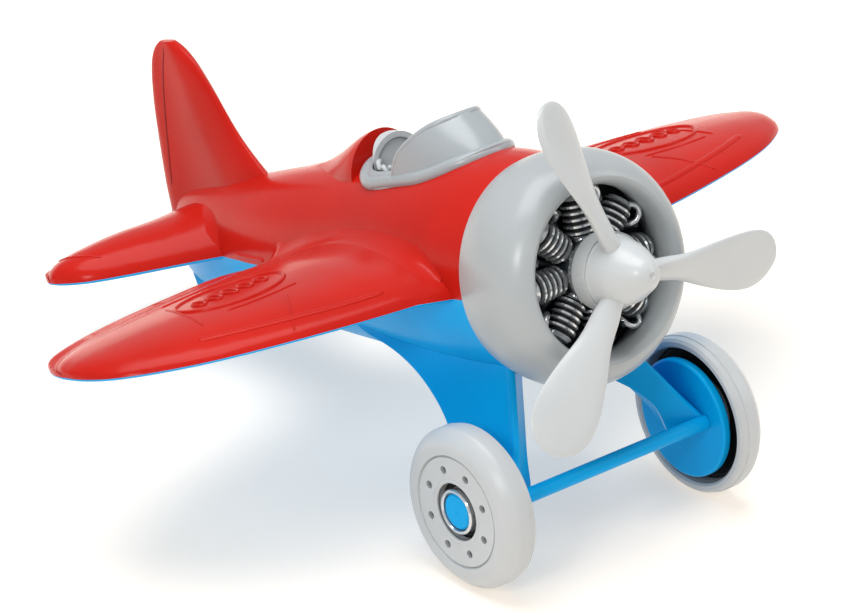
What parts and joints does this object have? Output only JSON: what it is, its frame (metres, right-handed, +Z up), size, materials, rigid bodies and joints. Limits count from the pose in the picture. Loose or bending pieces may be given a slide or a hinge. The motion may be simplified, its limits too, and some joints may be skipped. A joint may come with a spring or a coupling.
{
  "type": "toy aeroplane",
  "caption": "Chunky low-wing toy aeroplane with a round open cowl, dummy radial engine, spinning propeller, open cockpit, splayed wheel legs and a tail skid.",
  "frame": {"origin": "middle of the footprint on the ground, under the middle of the overall length and the middle of the wing span", "axes": "+X across the wings to the right wing tip as the pilot sits, +Y from the propeller back to the tail, +Z up from the ground; the fuselage is tipped nose-up about 17.7 degrees because it rests on its wheels and tail skid"},
  "size_m": [0.2446, 0.2198, 0.1322],
  "materials": {
    "red_plastic": "satin",
    "blue_plastic": "satin",
    "light_grey_plastic": "satin",
    "dark_grey_plastic": "satin",
    "bright_grey_plastic": "gloss",
    "bearing_plastic": "matte",
    "pin_steel": "brushed",
    "screw_steel": "satin"
  },
  "bodies": {
    "airframe": {"upper_shell": "red_plastic", "lower_shell": "blue_plastic", "shell_screws": "screw_steel", "tail_skid": "blue_plastic", "cowl": "light_grey_plastic", "nose_bulkhead": "dark_grey_plastic", "engine_backplate": "dark_grey_plastic", "engine_screws": "screw_steel", "crankcase": "dark_grey_plastic", "crankcase_ring": "bright_grey_plastic", "engine_cylinders": "bright_grey_plastic", "pushrod_tubes": "dark_grey_plastic", "shaft_bearing": "bearing_plastic", "thrust_washer": "bearing_plastic", "gear_leg_left": "blue_plastic", "gear_leg_right": "blue_plastic", "spreader_bar": "blue_plastic", "axle_left": "blue_plastic", "axle_right": "blue_plastic", "cockpit_tub": "light_grey_plastic", "windscreen": "light_grey_plastic", "headrest": "light_grey_plastic", "seat_cushion": "light_grey_plastic", "instrument_panel": "light_grey_plastic", "control_stick": "light_grey_plastic"},
    "propeller_assembly": {"propeller": "light_grey_plastic", "propeller_shaft": "pin_steel", "retaining_clip": "pin_steel"},
    "left_wheel": {"wheel_left": "light_grey_plastic", "hub_cap_left": "bright_grey_plastic"},
    "right_wheel": {"wheel_right": "light_grey_plastic", "hub_cap_right": "bright_grey_plastic"}
  },
  "joints": [
    {"name": "propeller_spin", "type": "hinge", "parent": "airframe", "child": "propeller_assembly", "pos_m": [0, -0.095, 0.08439], "axis": [0, -0.9527, 0.304], "continuous": true},
    {"name": "left_wheel_roll", "type": "hinge", "parent": "airframe", "child": "left_wheel", "pos_m": [0, -0.08132, 0.02265], "axis": [1, 0, 0], "continuous": true},
    {"name": "right_wheel_roll", "type": "hinge", "parent": "airframe", "child": "right_wheel", "pos_m": [0, -0.08132, 0.02265], "axis": [1, 0, 0], "continuous": true}
  ]
}
